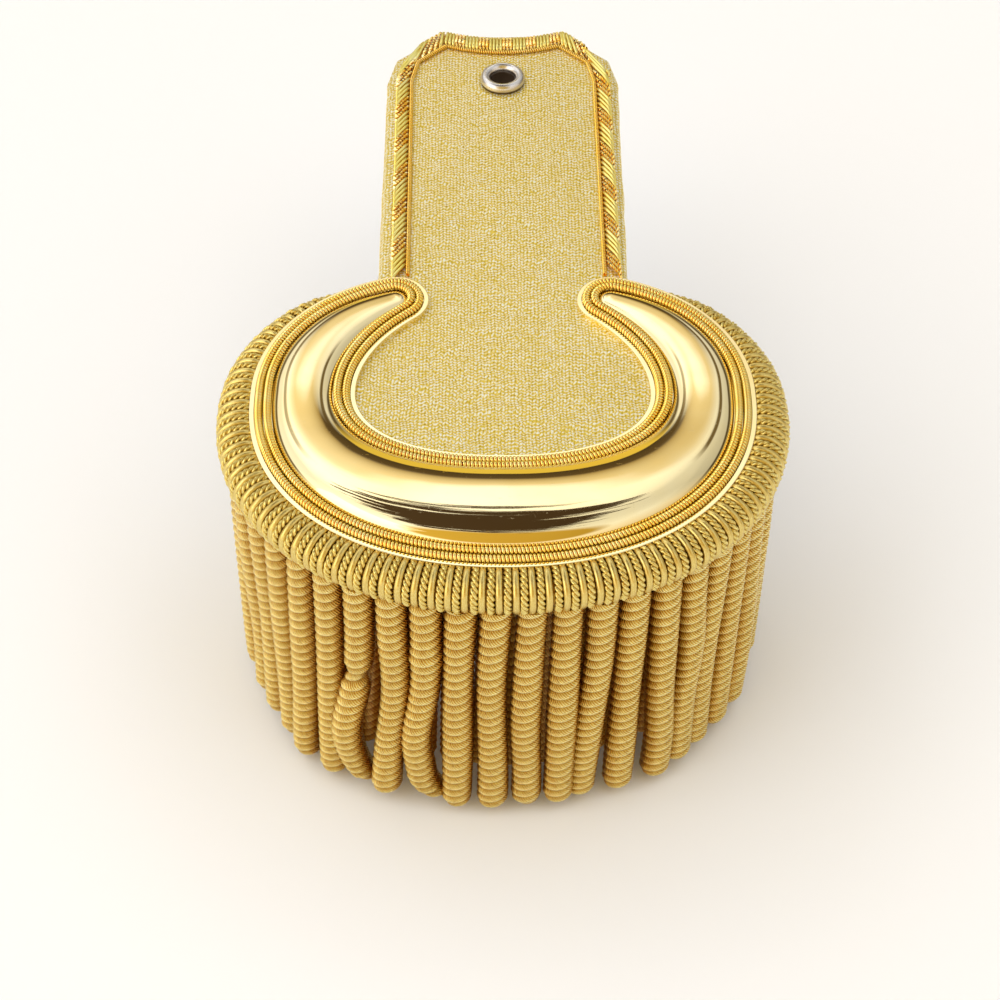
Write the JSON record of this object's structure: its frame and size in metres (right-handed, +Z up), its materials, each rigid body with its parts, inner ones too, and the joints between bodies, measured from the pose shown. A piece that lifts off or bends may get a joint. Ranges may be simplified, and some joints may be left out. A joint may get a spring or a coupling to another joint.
{
  "type": "full dress shoulder board epaulette with bullion fringe",
  "caption": "Cloth-of-gold shoulder strap and round pad with a gilt crescent, coiled wire trim, corded edge roll, hanging bullion fringe and a nickel eyelet",
  "frame": {"origin": "on the underside of the pad, under the middle of the crescent, where it sits on the shoulder", "axes": "+Y along the strap towards the collar, +Z up out of the cloth, +X to the right"},
  "size_m": [0.1232, 0.1909, 0.0789],
  "materials": {
    "dark_lining": "plain dark woollen cloth",
    "cloth_of_gold": "glittering metal-thread cloth with fine ribs along the strap",
    "wire_border": "slanting strands of smooth and checked gilt wire",
    "coiled_wire": "bright gilt wire coiled like a string of pearls",
    "nickel": "polished nickel",
    "gilt_metal": "polished gilt with fine scratches",
    "gilt_cord": "smooth gimp and twisted gilt cords in turn",
    "bullion": "twisted bundles of fine gilt wire"
  },
  "bodies": {
    "root": {"lining": "dark_lining", "board": "cloth_of_gold", "border": "wire_border", "fine_line": "coiled_wire", "eyelet": "nickel", "crescent": "gilt_metal", "rim_purl": "coiled_wire", "dome_purl": "coiled_wire", "heading": "gilt_cord", "fringe": "bullion", "inner_fringe": "bullion"}
  },
  "joints": []
}
